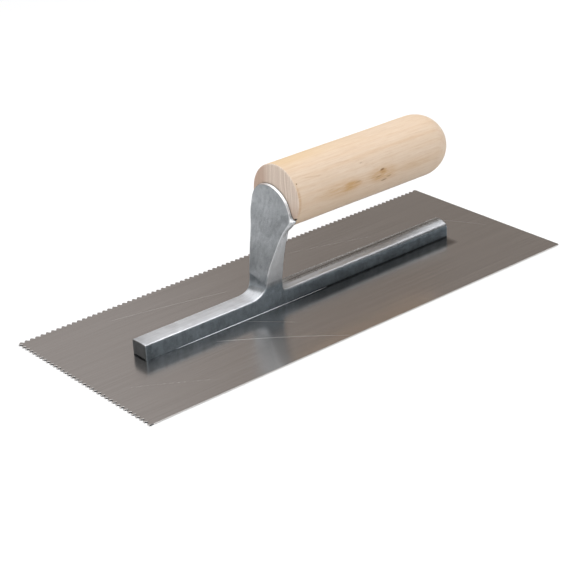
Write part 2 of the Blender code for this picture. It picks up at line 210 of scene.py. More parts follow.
def along_handle(profile):
    """Turn a profile round the handle's axis, in the handle's place."""
    shape = turned_shape(profile, HOLE_SEGMENTS)
    bmesh.ops.transform(shape, matrix=handle_frame(), verts=shape.verts)
    return shape


# ---- blade


def notch_outline():
    """Return the points of one V notch as (distance along the edge, depth into the metal)."""
    side_angle = math.atan2(NOTCH_HALF_MOUTH - NOTCH_SIDE_END[0], NOTCH_DEPTH - NOTCH_SIDE_END[1])
    points = [(NOTCH_HALF_MOUTH, 0.0)]
    steps = 6
    for step in range(steps + 1):
        angle = side_angle + (math.pi - 2.0 * side_angle) * step / steps
        along = NOTCH_ROOT_RADIUS * math.cos(angle)
        depth = NOTCH_DEPTH - NOTCH_ROOT_RADIUS + NOTCH_ROOT_RADIUS * math.sin(angle)
        points.append((along, depth))
    points.append((-NOTCH_HALF_MOUTH, 0.0))
    return points


def rounded_corner(x, y, start_angle):
    """Return the points of a plain corner rounded off, anticlockwise from the given angle."""
    centre_x = x - math.copysign(BLADE_CORNER_RADIUS, x)
    centre_y = y - math.copysign(BLADE_CORNER_RADIUS, y)
    points = []
    steps = 5
    for step in range(steps + 1):
        angle = start_angle + math.pi / 2.0 * step / steps
        off_x = BLADE_CORNER_RADIUS * math.cos(angle)
        off_y = BLADE_CORNER_RADIUS * math.sin(angle)
        points.append((centre_x + off_x, centre_y + off_y))
    return points


def blade_outline():
    """Return the blade's outline, anticlockwise from the plain corner on the -X side."""
    end_x = BLADE_LENGTH / 2.0
    end_y = BLADE_WIDTH / 2.0
    outline = rounded_corner(-end_x, -end_y, math.pi)
    outline += rounded_corner(end_x, -end_y, -math.pi / 2.0)
    outline += rounded_corner(end_x, end_y, 0.0)
    for number in range(LONG_EDGE_NOTCHES, 0, -1):
        middle = -end_x + NOTCH_PITCH * number
        for along, depth in notch_outline():
            outline.append((middle + along, end_y - depth))
    # Half a notch on each edge takes off the corner between them.
    cut = NOTCH_HALF_MOUTH * NOTCH_DEPTH / (NOTCH_HALF_MOUTH + NOTCH_DEPTH)
    outline.append((-end_x + NOTCH_DEPTH, end_y))
    outline.append((-end_x + cut, end_y - cut))
    outline.append((-end_x, end_y - NOTCH_DEPTH))
    for number in range(1, SHORT_EDGE_NOTCHES + 1):
        middle = end_y - NOTCH_PITCH * number
        for along, depth in notch_outline():
            outline.append((-end_x + depth, middle + along))
    return outline


def inset_outline(outline, distance):
    """Move every point of an anticlockwise outline inwards."""
    moved = []
    count = len(outline)
    for index in range(count):
        before = Vector(outline[index - 1])
        here = Vector(outline[index])
        after = Vector(outline[(index + 1) % count])
        first = (here - before).normalized()
        second = (after - here).normalized()
        first_normal = Vector((-first.y, first.x))
        second_normal = Vector((-second.y, second.x))
        spread = max(1.0 + first_normal.dot(second_normal), 0.4)
        place = here + (first_normal + second_normal) * (distance / spread)
        moved.append((place.x, place.y))
    return moved


def rivet_countersinks():
    """Return the shapes that cut the rivets' countersunk holes through the blade."""
    overshoot = 0.2
    slope = (RIVET_HEAD_RADIUS - RIVET_SHANK_RADIUS) / RIVET_HEAD_HEIGHT
    wide = RIVET_HEAD_RADIUS + RIVET_HOLE_CLEARANCE
    narrow = RIVET_SHANK_RADIUS + RIVET_HOLE_CLEARANCE
    profile = (
        (-overshoot, wide + slope * overshoot),
        (RIVET_HEAD_HEIGHT, narrow),
        (BLADE_THICKNESS + overshoot, narrow),
    )
    return [upright(turned_shape(profile, HOLE_SEGMENTS), x, 0.0) for x in RIVET_X]


def make_blade(material):
    """Make the notched sheet with broken edges and countersunk rivet holes."""
    outline = blade_outline()
    inner = inset_outline(outline, BLADE_EDGE_BREAK)
    layers = (
        (inner, 0.0),
        (outline, BLADE_EDGE_BREAK),
        (outline, BLADE_THICKNESS - BLADE_EDGE_BREAK),
        (inner, BLADE_THICKNESS),
    )
    shape = bmesh.new()
    rows = [[shape.verts.new((x, y, z)) for x, y in points] for points, z in layers]
    for lower, upper in zip(rows[:-1], rows[1:]):
        skin(shape, lower, upper, closed=True)
    shape.faces.new(rows[0])
    shape.faces.new(rows[-1])
    blade = to_object("blade_sheet", shape, material)
    cut_or_join(blade, rivet_countersinks(), "DIFFERENCE")
    blade.data.shade_flat()
    return blade


# ---- casting


def bar_section(x):
    """Return the bar's half width, top edge height and crown at one place along it."""
    if x <= POST_TOE_X:
        share = (POST_TOE_X - x) / (BAR_END + POST_TOE_X)
        half = BAR_HALF_WIDTH + (BAR_END_HALF_WIDTH - BAR_HALF_WIDTH) * share
        return half, BAR_EDGE_Z, BAR_TOE_CROWN
    if x <= POST_HEEL_X:
        return BAR_HALF_WIDTH, BAR_EDGE_Z, 0.0
    share = (x - POST_HEEL_X) / (BAR_END - POST_HEEL_X)
    half = BAR_HALF_WIDTH + (BAR_END_HALF_WIDTH - BAR_HALF_WIDTH) * share
    edge = BAR_EDGE_Z + (BAR_HEEL_EDGE_Z - BAR_EDGE_Z) * share
    crown = BAR_POST_CROWN + (BAR_HEEL_CROWN - BAR_POST_CROWN) * share
    return half, edge, crown


COLUMNS = (-1.0, -0.55, 0.0, 0.55, 1.0)
# The share of the crown that each column of the bar's heel end reaches
HEEL_HEIGHTS = (0.0, 0.52, 0.96, 0.78, 0.0)
BAR_STATIONS = (
    -BAR_END, -101.8, -96.0, -70.0, -42.0, POST_TOE_X, -28.5, -21.5,
    POST_HEEL_X, -8.0, 30.0, 70.0, 96.0, 101.8, BAR_END,
)
POST_FIRST_STATION = BAR_STATIONS.index(POST_TOE_X)
POST_LAST_STATION = BAR_STATIONS.index(POST_HEEL_X)

# The post from the bar upwards: height, toe face x, heel face x, then the near and far y of the toe face
# and of the heel face. A heel face of None lies on the handle's seat.
POST_LEVELS = (
    (10.4, -31.6, -15.8, -5.9, 5.9, -5.9, 5.9),
    (12.6, -28.5, -15.9, -5.9, 5.9, -5.9, 5.9),
    (18.3, -27.9, -15.9, -5.95, 6.2, -5.9, 5.9),
    (25.0, -25.7, -14.8, -7.7, 9.4, -6.2, 7.3),
    (30.0, -23.9, -13.9, -8.8, 11.1, -6.5, 8.2),
    (37.0, -21.6, None, -10.2, 12.8, -8.0, 9.7),
    (42.9, -19.4, None, -11.3, 14.4, -9.3, 11.9),
)
# The flange up to its arch: the y and z of each column of the toe face, then of the heel face, and the
# flange's thickness.
FLANGE_LEVELS = (
    (
        ((-13.4, 49.2), (-6.4, 49.0), (2.0, 49.0), (10.3, 49.0), (16.7, 49.0)),
        ((-17.1, 50.6), (-7.6, 49.0), (1.4, 49.0), (10.3, 49.0), (17.2, 49.0)),
        3.0,
    ),
    (
        ((-12.8, 50.2), (-7.2, 54.6), (2.0, 57.4), (12.2, 55.3), (16.9, 51.3)),
        ((-13.6, 49.7), (-7.4, 54.6), (2.0, 57.4), (12.2, 55.3), (17.2, 51.3)),
        1.6,
    ),
    (
        ((-11.2, 53.0), (-9.1, 59.5), (1.95, 66.2), (13.6, 63.3), (17.1, 54.15)),
        ((-11.6, 53.0), (-9.6, 59.9), (1.9, 66.8), (14.0, 63.7), (17.4, 54.2)),
        1.4,
    ),
)
# The post stands on a block with upright sides. The block's top edge rises towards +Y, and its toe face is
# turned a little.
BLOCK_FOOT_LEVEL = 1
BLOCK_TOP_LEVEL = 2
BLOCK_TOP_RISE = 0.43
BLOCK_TOE_TURN = -0.11
BLOCK_CREASE = 0.62
BAR_CREASE = 0.38
POST_CREASE = 0.34
RIDGE_CREASE = 0.24
RIM_CREASE = 0.85
HEEL_EDGE_CREASE = 0.1
SHARP_CREASE = 1.0
# The flange's lug leaves the post's near side at a sharp inside corner. From here up, the flange's edges
# on the seat are sharp too.
LUG_LEVEL = 6
LUG_CREASE = 0.8
CASTING_SHARP_ANGLE = 56.0


def seat_x(y, z):
    """Return the x of the handle's seat at one place on the flange's heel face."""
    axis = handle_frame().to_3x3() @ Vector((1.0, 0.0, 0.0))
    rest = -SEAT_GAP - (y - HANDLE_FRONT.y) * axis.y - (z - HANDLE_FRONT.z) * axis.z
    return HANDLE_FRONT.x + rest / axis.x


def across(near, far, column):
    """Return the y of one column between a near edge and a far edge."""
    return near + (far - near) * (column + 1.0) / 2.0


def post_rings():
    """Return the toe row and the heel row of cage points at each level above the bar."""
    rings = []
    for level, (z, toe_x, heel_x, toe_near, toe_far, heel_near, heel_far) in enumerate(POST_LEVELS):
        turn = BLOCK_TOE_TURN if level in (BLOCK_FOOT_LEVEL, BLOCK_TOP_LEVEL) else 0.0
        rise = BLOCK_TOP_RISE if level == BLOCK_TOP_LEVEL else 0.0
        toe = []
        heel = []
        for column in COLUMNS:
            toe_y = across(toe_near, toe_far, column)
            heel_y = across(heel_near, heel_far, column)
            toe.append(Vector((toe_x + turn * toe_y, toe_y, z + rise * toe_y)))
            heel_place = seat_x(heel_y, z) if heel_x is None else heel_x
            heel.append(Vector((heel_place, heel_y, z + rise * heel_y)))
        rings.append((toe, heel))
    for toe_columns, heel_columns, thickness in FLANGE_LEVELS:
        toe = [Vector((seat_x(y, z) - thickness, y, z)) for y, z in toe_columns]
        heel = [Vector((seat_x(y, z), y, z)) for y, z in heel_columns]
        rings.append((toe, heel))
    return rings


def crease_row(shape, points, value):
    """Crease the edges along a row of points."""
    crease = shape.edges.layers.float["crease_edge"]
    for first, second in zip(points[:-1], points[1:]):
        edge = shape.edges.get((first, second))
        edge[crease] = value


def bar_sections(shape):
    """Add the bar's points. Return the top, middle and bottom points of the section at each station."""
    sections = []
    for x in BAR_STATIONS:
        half, edge, crown = bar_section(x)
        heights = HEEL_HEIGHTS if x > POST_HEEL_X else [1.0 - c * c for c in COLUMNS]
        tops = [shape.verts.new((x, half * c, edge + crown * h)) for c, h in zip(COLUMNS, heights)]
        middle_z = (edge + BAR_BOTTOM) / 2.0
        middles = [shape.verts.new((x, half * c, middle_z)) for c in (-1.0, 1.0)]
        bottoms = [shape.verts.new((x, half * c, BAR_BOTTOM)) for c in COLUMNS]
        sections.append((tops, middles, bottoms))
    return sections


def add_bar_sides(shape, sections):
    """Skin the bar from section to section, but for the opening in its top under the post."""
    for number, (section, next_section) in enumerate(zip(sections[:-1], sections[1:])):
        tops, middles, bottoms = section
        next_tops, next_middles, next_bottoms = next_section
        under_post = POST_FIRST_STATION <= number < POST_LAST_STATION
        skin(shape, bottoms, next_bottoms)
        if not under_post:
            skin(shape, tops, next_tops)
        for side in (0, -1):
            upright_row = (tops[side], middles[side], bottoms[side])
            next_row = (next_tops[side], next_middles[side], next_bottoms[side])
            skin(shape, upright_row, next_row)
            crease_row(shape, (bottoms[side], next_bottoms[side]), SHARP_CREASE)
            if not under_post:
                rounded = side == 0 and number >= POST_LAST_STATION
                top_crease = HEEL_EDGE_CREASE if rounded else BAR_CREASE
                crease_row(shape, (tops[side], next_tops[side]), top_crease)


def add_bar_ends(shape, sections):
    """Close the bar's two ends."""
    for tops, middles, bottoms in (sections[0], sections[-1]):
        middle_row = [middles[0]]
        for top, bottom in zip(tops[1:-1], bottoms[1:-1]):
            middle_row.append(shape.verts.new((top.co + bottom.co) / 2.0))
        middle_row.append(middles[1])
        skin(shape, tops, middle_row)
        skin(shape, middle_row, bottoms)
        crease_row(shape, tops, BAR_CREASE)
        crease_row(shape, bottoms, SHARP_CREASE)
        for side in (0, -1):
            crease_row(shape, (tops[side], middles[side], bottoms[side]), BAR_CREASE)


def ring_sides(toe, near, heel, far):
    """Return the four sides of a ring of the post's cage as rows of points."""
    return toe, heel, [toe[0]] + near + [heel[0]], [toe[-1]] + far + [heel[-1]]


def add_post(shape, sections):
    """Skin the post and its flange upwards from the opening in the bar's top, and close its arch."""
    between = sections[POST_FIRST_STATION + 1:POST_LAST_STATION]
    shares = [(step + 1.0) / (len(between) + 1.0) for step in range(len(between))]
    toe = sections[POST_FIRST_STATION][0]
    near = [tops[0] for tops, _, _ in between]
    heel = sections[POST_LAST_STATION][0]
    far = [tops[-1] for tops, _, _ in between]
    for level, (toe_points, heel_points) in enumerate(post_rings()):
        lower_toe, lower_heel = toe, heel
        lower_sides = ring_sides(toe, near, heel, far)
        toe = [shape.verts.new(point) for point in toe_points]
        heel = [shape.verts.new(point) for point in heel_points]
        near = [shape.verts.new(toe_points[0].lerp(heel_points[0], share)) for share in shares]
        far = [shape.verts.new(toe_points[-1].lerp(heel_points[-1], share)) for share in shares]
        for lower, upper in zip(lower_sides, ring_sides(toe, near, heel, far)):
            skin(shape, lower, upper)
        heel_crease = SHARP_CREASE if level >= LUG_LEVEL else POST_CREASE
        ridge_crease = RIDGE_CREASE if level > BLOCK_TOP_LEVEL else POST_CREASE
        crease_row(shape, (lower_toe[0], toe[0]), ridge_crease)
        crease_row(shape, (lower_toe[-1], toe[-1]), POST_CREASE)
        crease_row(shape, (lower_heel[0], heel[0]), heel_crease)
        crease_row(shape, (lower_heel[-1], heel[-1]), heel_crease)
        if level == BLOCK_TOP_LEVEL:
            crease_row(shape, toe + far + heel[::-1] + near[::-1] + [toe[0]], BLOCK_CREASE)
        if level == LUG_LEVEL:
            crease_row(shape, near + [heel[0]], LUG_CREASE)
    rows = [toe]
    for near_point, far_point, share in zip(near, far, shares):
        row = [near_point]
        for first, second in zip(toe[1:-1], heel[1:-1]):
            row.append(shape.verts.new(first.co.lerp(second.co, share)))
        row.append(far_point)
        rows.append(row)
    rows.append(heel)
    for first, second in zip(rows[:-1], rows[1:]):
        skin(shape, first, second)
    crease_row(shape, toe, RIM_CREASE)
    crease_row(shape, heel, SHARP_CREASE)


def casting_cage():
    """Build the cage of the casting: a bar whose top opens into the post and its flange."""
    shape = bmesh.new()
    shape.edges.layers.float.new("crease_edge")
    sections = bar_sections(shape)
    add_bar_sides(shape, sections)
    add_bar_ends(shape, sections)
    add_post(shape, sections)
    return shape


CAST_SKIN_DEPTH = 0.05
CAST_SKIN_SIZE = 3.5
# Under this height the bar's top is dressed smooth at its heel end.
DRESSED_TOP = 13.0


def roughen_casting(piece):
    """Give the cast faces a very shallow unevenness, less on the bar's dressed top, none by the blade."""
    for vertex in piece.data.vertices:
        place = vertex.co / MM
        fade = min(max((place.z - BAR_BOTTOM - 1.0) / 2.0, 0.0), 1.0)
        if place.x > POST_HEEL_X and place.z < DRESSED_TOP:
            fade *= 1.0 - 0.8 * min(max((vertex.normal.z - 0.2) / 0.3, 0.0), 1.0)
        height = noise.noise(place / CAST_SKIN_SIZE) + 0.5 * noise.noise(place / (0.4 * CAST_SKIN_SIZE))
        vertex.co += vertex.normal * (height * CAST_SKIN_DEPTH * fade * MM)


FLASH_START = -86.0
FLASH_END = 14.0
FLASH_STEPS = 90
# How far the flash reaches out of the bar, at least and at most, and how far it goes into it
FLASH_LEAST = 0.02
FLASH_REACH = 0.42
FLASH_ROOT = 0.25
FLASH_THICKNESS = 0.1


def make_flash(material):
    """Make the thin ridge of casting flash left along the bar's lower near edge."""
    shape = bmesh.new()
    rows = []
    for step in range(FLASH_STEPS + 1):
        share = step / FLASH_STEPS
        x = FLASH_START + (FLASH_END - FLASH_START) * share
        half = bar_section(x)[0]
        taper = math.sin(math.pi * share) ** 0.3
        wobble = 1.0 + 0.35 * noise.noise(Vector((x / 2.5, 0.0, 0.0)))
        wobble += 0.2 * noise.noise(Vector((x / 0.9, 3.0, 0.0)))
        reach = FLASH_LEAST + FLASH_REACH * taper * wobble
        top = BAR_BOTTOM + FLASH_THICKNESS
        corners = (
            (-half + FLASH_ROOT, BAR_BOTTOM),
            (-half - reach, BAR_BOTTOM),
            (-half - reach, top),
            (-half + FLASH_ROOT, top + 0.75 * reach),
        )
        rows.append([shape.verts.new((x, y, z)) for y, z in corners])
    shape.faces.new(rows[0])
    shape.faces.new(rows[-1])
    for first, second in zip(rows[:-1], rows[1:]):
        skin(shape, first, second, closed=True)
    return to_object("mounting_flash", shape, material)


def toe_relief():
    """Return the block that cuts the shallow relief under the bar's toe end."""
    relief = bmesh.new()
    bmesh.ops.create_cube(relief, size=1.0)
    bmesh.ops.scale(relief, vec=TOE_RELIEF_SIZE, verts=relief.verts)
    bmesh.ops.translate(relief, vec=(-BAR_END, 0.0, BAR_BOTTOM), verts=relief.verts)
    return relief


def make_mounting(material):
    """Make the casting with its spigot, its bolt hole, its rivet holes and its toe relief."""
    mounting = to_object("mounting_casting", casting_cage(), material, 180.0)
    smoothing = mounting.modifiers.new("Subdivision", "SUBSURF")
    smoothing.levels = 3
    smoothing.render_levels = 3
    apply_modifiers(mounting)
    roughen_casting(mounting)
    spigot = along_handle(((SPIGOT_START, SPIGOT_RADIUS), (SPIGOT_LENGTH, SPIGOT_RADIUS)))
    cut_or_join(mounting, [spigot], "UNION")
    hole_end = SPIGOT_LENGTH + 1.0
    cutters = [along_handle(((BOLT_HOLE_START, BOLT_HOLE_RADIUS), (hole_end, BOLT_HOLE_RADIUS)))]
    radius = RIVET_SHANK_RADIUS + RIVET_HOLE_CLEARANCE
    profile = ((BAR_BOTTOM - 0.5, radius), (RIVET_TOP + 0.1, radius))
    cutters += [upright(turned_shape(profile, RIVET_HOLE_SEGMENTS), x, 0.0) for x in RIVET_X]
    cutters.append(toe_relief())
    cut_or_join(mounting, cutters, "DIFFERENCE")
    mounting.data.shade_smooth()
    mounting.data.set_sharp_from_angle(angle=math.radians(CASTING_SHARP_ANGLE))
    return mounting


# ---- handle


def handle_profile():
    """Return the handle's profile from the outside of its front end round to the front of its bore."""
    profile = []
    steps = 6
    for step in range(steps, -1, -1):
        angle = math.pi / 2.0 * step / steps
        along = HANDLE_EDGE_ROUND * (1.0 - math.sin(angle))
        radius = HANDLE_RADIUS - HANDLE_EDGE_ROUND * (1.0 - math.cos(angle))
        profile.append((along, radius))
    steps = 44
    for step in range(1, steps):
        share = step / steps
        along = HANDLE_EDGE_ROUND + (HANDLE_STRAIGHT - HANDLE_EDGE_ROUND) * share
        profile.append((along, HANDLE_RADIUS))
    steps = 30
    rim_share = math.asin(math.sqrt(1.0 - (BUTT_RECESS_RADIUS / HANDLE_RADIUS) ** 2)) / (math.pi / 2.0)
    for step in range(steps + 1):
        angle = math.pi / 2.0 * rim_share * step / steps
        along = HANDLE_STRAIGHT + HANDLE_DOME * math.sin(angle)
        profile.append((along, HANDLE_RADIUS * math.cos(angle)))
    rim_along = profile[-1][0]
    profile[-1] = (rim_along - BUTT_RIM_DROP, BUTT_RECESS_RADIUS + BUTT_RIM_ROUND)
    profile.append((rim_along - BUTT_RIM_ROUND, BUTT_RECESS_RADIUS))
    profile.append((BUTT_RECESS_FLOOR, BUTT_RECESS_RADIUS))
    profile.append((BUTT_RECESS_FLOOR, HANDLE_BORE_RADIUS))
    profile.append((SPIGOT_SOCKET_DEPTH, HANDLE_BORE_RADIUS))
    profile.append((SPIGOT_SOCKET_DEPTH, SPIGOT_SOCKET_RADIUS))
    profile.append((0.0, SPIGOT_SOCKET_RADIUS))
    return profile


def make_handle(material):
    """Make the turned handle, bored through, with a socket in front and a recess in its domed end.

    Its mesh is written along its own axis, and the object is placed by its matrix, so that the wood's
    grain follows the handle.
    """
    shape = turned_shape(handle_profile(), HANDLE_SEGMENTS, closed=True)
    # The lathe and the sanding leave the round very slightly uneven.
    for vertex in shape.verts:
        radial = Vector((0.0, vertex.co.y, vertex.co.z))
        if radial.length > BUTT_RECESS_RADIUS + 0.5:
            sample = Vector((vertex.co.x / 30.0, vertex.co.y / 11.0, vertex.co.z / 11.0))
            vertex.co += radial.normalized() * (HANDLE_UNEVENNESS * (noise.noise(sample) - 0.5))
    handle = to_object("handle_turned", shape, material)
    placement = handle_frame()
    placement.translation = placement.translation * MM
    handle.matrix_world = placement
    return handle


# ---- materials


class Nodes:
    """A node tree, with a short call for each kind of node used here."""

    def __init__(self, tree):
        self.tree = tree

    def add(self, kind, settings=None, inputs=None):
        """Add a node. An input's value is a constant or another node's output."""
        node = self.tree.nodes.new(kind)
        for name, value in (settings or {}).items():
            setattr(node, name, value)
        for name, value in (inputs or {}).items():
            self.feed(node, name, value)
        return node

    def feed(self, node, name, value):
        """Set one input of a node to a constant or to another node's output."""
        if isinstance(value, bpy.types.NodeSocket):
            self.tree.links.new(value, node.inputs[name])
        else:
            node.inputs[name].default_value = value

    def math(self, operation, *values):
        """Return the result of a maths node."""
        node = self.add("ShaderNodeMath", {"operation": operation})
        for index, value in enumerate(values):
            self.feed(node, index, value)
        return node.outputs[0]

    def times(self, product, *others):
        """Return the product of masks and numbers."""
        for value in others:
            product = self.math("MULTIPLY", product, value)
        return product

    def square_sum(self, first, second):
        """Return the sum of the squares of two values."""
        return self.math("ADD", self.math("POWER", first, 2.0), self.math("POWER", second, 2.0))

    def spread(self, value, low, high, new_low=0.0, new_high=1.0, kind="LINEAR"):
        """Map a value from one range to another, held at its ends."""
        inputs = {"Value": value, "From Min": low, "From Max": high, "To Min": new_low, "To Max": new_high}
        return self.add("ShaderNodeMapRange", {"interpolation_type": kind}, inputs).outputs["Result"]

    def ease(self, value, low, high, new_low=0.0, new_high=1.0):
        """Map a value from one range to another with a soft start and end."""
        return self.spread(value, low, high, new_low, new_high, "SMOOTHSTEP")

    def mix(self, share, first, second, blend="MIX"):
        """Return a mix of two colours."""
        node = self.add("ShaderNodeMix", {"data_type": "RGBA", "blend_type": blend})
        for index, value in ((0, share), (6, first), (7, second)):
            self.feed(node, index, (*value, 1.0) if isinstance(value, tuple) else value)
        return node.outputs[2]

    def shade(self, share, tone, colour):
        """Return a tone multiplied by a colour, as far as the share says."""
        return self.mix(share, tone, colour, "MULTIPLY")


class Finish(Nodes):
    """One material's node tree. Places on the piece are in millimetres."""

    def __init__(self, name):
        self.material = bpy.data.materials.new(name)
        self.material.use_nodes = True
        super().__init__(self.material.node_tree)
        self.place = self.add("ShaderNodeTexCoord").outputs["Object"]

    def complete(self, **inputs):
        """Feed the shader's own inputs and return the material."""
        shader = self.tree.nodes["Principled BSDF"]
        for name, value in inputs.items():
            self.feed(shader, name.replace("_", " "), value)
        return self.material

    def scaled(self, scale):
        """Return the place in metres, times a scale along each axis."""
        return self.add("ShaderNodeMapping", None, {0: self.place, "Scale": scale}).outputs[0]

    def millimetres(self):
        """Return the place in millimetres."""
        return self.scaled((1.0 / MM, 1.0 / MM, 1.0 / MM))

    def axes(self):
        """Return the place's x, y and z in millimetres."""
        return tuple(self.add("ShaderNodeSeparateXYZ", None, {0: self.millimetres()}).outputs)

    def facing(self):
        """Return the x, y and z of the direction that the surface faces."""
        normal = self.add("ShaderNodeNewGeometry").outputs["Normal"]
        return tuple(self.add("ShaderNodeSeparateXYZ", None, {0: normal}).outputs)

    def grain(self, scale, detail, roughness):
        """Return a noise whose cells have 1 / scale metres along each axis."""
        inputs = {"Vector": self.scaled(scale), "Scale": 1.0, "Detail": detail, "Roughness": roughness}
        return self.add("ShaderNodeTexNoise", None, inputs).outputs["Fac"]

    def bands(self, value, scale, detail):
        """Return a noise that changes with one value only."""
        inputs = {"W": value, "Scale": scale, "Detail": detail}
        return self.add("ShaderNodeTexNoise", {"noise_dimensions": "1D"}, inputs).outputs["Fac"]

    def bump(self, height, strength, distance, normal=None):
        """Return a normal bent by a height."""
        inputs = {"Height": height, "Strength": strength, "Distance": distance}
        if normal is not None:
            inputs["Normal"] = normal
        return self.add("ShaderNodeBump", None, inputs).outputs["Normal"]

    def line(self, start, end, half_width, bend):
        """Return a mask, 1 on a thin bent line between two (x, y) places and 0 away from it."""
        x, y, _ = self.axes()
        direction = Vector(end) - Vector(start)
        length = direction.length
        direction.normalize()
        from_x = self.math("SUBTRACT", x, start[0])
        from_y = self.math("SUBTRACT", y, start[1])
        along = self.math("ADD", self.times(from_x, direction.x), self.times(from_y, direction.y))
        side = self.math("SUBTRACT", self.times(from_y, direction.x), self.times(from_x, direction.y))
        share = self.math("DIVIDE", along, length)
        arc = self.times(share, self.math("SUBTRACT", 1.0, share), 4.0 * bend)
        off = self.math("ABSOLUTE", self.math("SUBTRACT", side, arc))
        core = self.ease(off, 0.0, half_width, 1.0, 0.0)
        return self.times(core, self.ease(share, 0.0, 0.12), self.ease(share, 1.0, 0.7))

    def patch(self, x, y, centre, size, slope):
        """Return a soft oval mask round a place on a surface with the coordinates x and y."""
        off_x = self.math("SUBTRACT", x, centre[0])
        off_y = self.math("SUBTRACT", self.math("SUBTRACT", y, centre[1]), self.times(off_x, slope))
        share_x = self.math("DIVIDE", off_x, size[0])
        share_y = self.math("DIVIDE", off_y, size[1])
        return self.ease(self.square_sum(share_x, share_y), 1.0, 0.0)

    def ball(self, centre, radius):
        """Return a soft round mask about a place on the piece."""
        inputs = {0: self.millimetres(), 1: centre}
        away = self.add("ShaderNodeVectorMath", {"operation": "DISTANCE"}, inputs).outputs["Value"]
        return self.ease(away, radius, 0.5 * radius)


# Faint scratches on the blade: start, end, half width, bend and strength
SCRATCHES = (
    ((-63.7, 12.6), (-20.0, -31.0), 0.28, 1.2, 0.55),
    ((-69.0, -12.0), (-9.0, -62.0), 0.32, 1.8, 0.8),
    ((-96.0, 45.0), (-14.0, 24.0), 0.4, 1.0, 0.35),
    ((-60.0, 16.0), (-34.0, -6.0), 0.22, 0.6, 0.35),
    ((112.0, 22.0), (134.0, -16.0), 0.25, 1.5, 0.3),
    ((20.0, 44.0), (84.0, 22.0), 0.3, 1.0, 0.22),
    ((-128.0, -20.0), (-84.0, -50.0), 0.25, 0.8, 0.22),
)


def notch_walls(coat, x, y):
    """Return a mask, 1 on the cut walls of the notches and 0 on the blade's faces and plain edges."""
    wall = coat.spread(coat.math("ABSOLUTE", coat.facing()[2]), 0.5, 0.2)
    strips = []
    for inward in (
        coat.math("ADD", x, BLADE_LENGTH / 2.0),
        coat.math("SUBTRACT", BLADE_WIDTH / 2.0, y),
    ):
        outer = coat.spread(inward, 0.1, 0.25)
        strips.append(coat.times(outer, coat.spread(inward, NOTCH_DEPTH + 1.1, NOTCH_DEPTH + 0.3)))
    return coat.times(wall, coat.math("MAXIMUM", *strips))


def painted_foot_shadow(coat, x, y, cloud):
    """Return a mask for the painted shadow and dark reflection of the bar on the blade along its near foot,
    mostly towards the heel.
    """
    edge = coat.math("ADD", y, coat.spread(cloud, 0.3, 0.7, -0.8, 0.8))
    return coat.times(
        coat.ease(edge, -16.5, -12.0),
        coat.spread(y, -4.0, -5.0),
        coat.ease(x, -30.0, 15.0, 0.08, 1.0),
        coat.spread(x, -106.0, -103.0),
        coat.spread(x, 104.5, 101.0),
    )


def blade_finish():
    """Ground steel: fine lines along the blade, faint scratches, painted shade on the notches' walls, and a
    painted shadow and dark reflection of the bar beside it.
    """
    coat = Finish("blade_steel")
    x, y, _ = coat.axes()
    lines = coat.grain((9.0, 1300.0, 20.0), 3.0, 0.6)
    broad = coat.grain((5.0, 160.0, 5.0), 2.0, 0.5)
    cloud = coat.grain((16.0, 26.0, 16.0), 3.0, 0.55)
    tone = coat.mix(coat.spread(lines, 0.25, 0.75), (0.53, 0.51, 0.495), (0.66, 0.635, 0.617))
    tone = coat.mix(coat.spread(broad, 0.3, 0.7, 0.0, 0.35), tone, (0.66, 0.64, 0.625))
    tone = coat.mix(coat.spread(cloud, 0.35, 0.75, 0.0, 0.25), tone, (0.53, 0.505, 0.485))
    marks = 0.0
    for start, end, half_width, bend, strength in SCRATCHES:
        mark = coat.times(coat.line(start, end, half_width, bend), strength)
        marks = coat.math("MAXIMUM", marks, mark)
    tone = coat.mix(marks, tone, (0.9, 0.89, 0.88))
    wall = notch_walls(coat, x, y)
    # Painted shade: the notches' cut walls are darkened almost to black.
    tone = coat.mix(wall, tone, (0.07, 0.072, 0.075))
    # A painted shadow and dark reflection of the bar lie on the blade along its near foot.
    tone = coat.mix(coat.times(painted_foot_shadow(coat, x, y, cloud), 0.8), tone, (0.15, 0.135, 0.12))
    rough = coat.spread(lines, 0.2, 0.8, 0.16, 0.25)
    rough = coat.math("ADD", rough, coat.spread(cloud, 0.3, 0.8, -0.01, 0.03))
    rough = coat.math("ADD", rough, coat.times(marks, 0.3))
    rough = coat.math("ADD", rough, coat.times(wall, 0.35))
    bent = coat.bump(lines, 0.2, 0.00002)
    bent = coat.bump(marks, 0.2, 0.00003, bent)
    return coat.complete(Base_Color=tone, Metallic=1.0, Roughness=rough, Normal=bent)


CAST_DARK = (0.35, 0.37, 0.385)
CAST_LIGHT = (0.55, 0.57, 0.59)
# The colour of painted highlights on the post's ridge and the flange's rim.
PAINTED_HIGHLIGHT = (0.93, 0.94, 0.95)


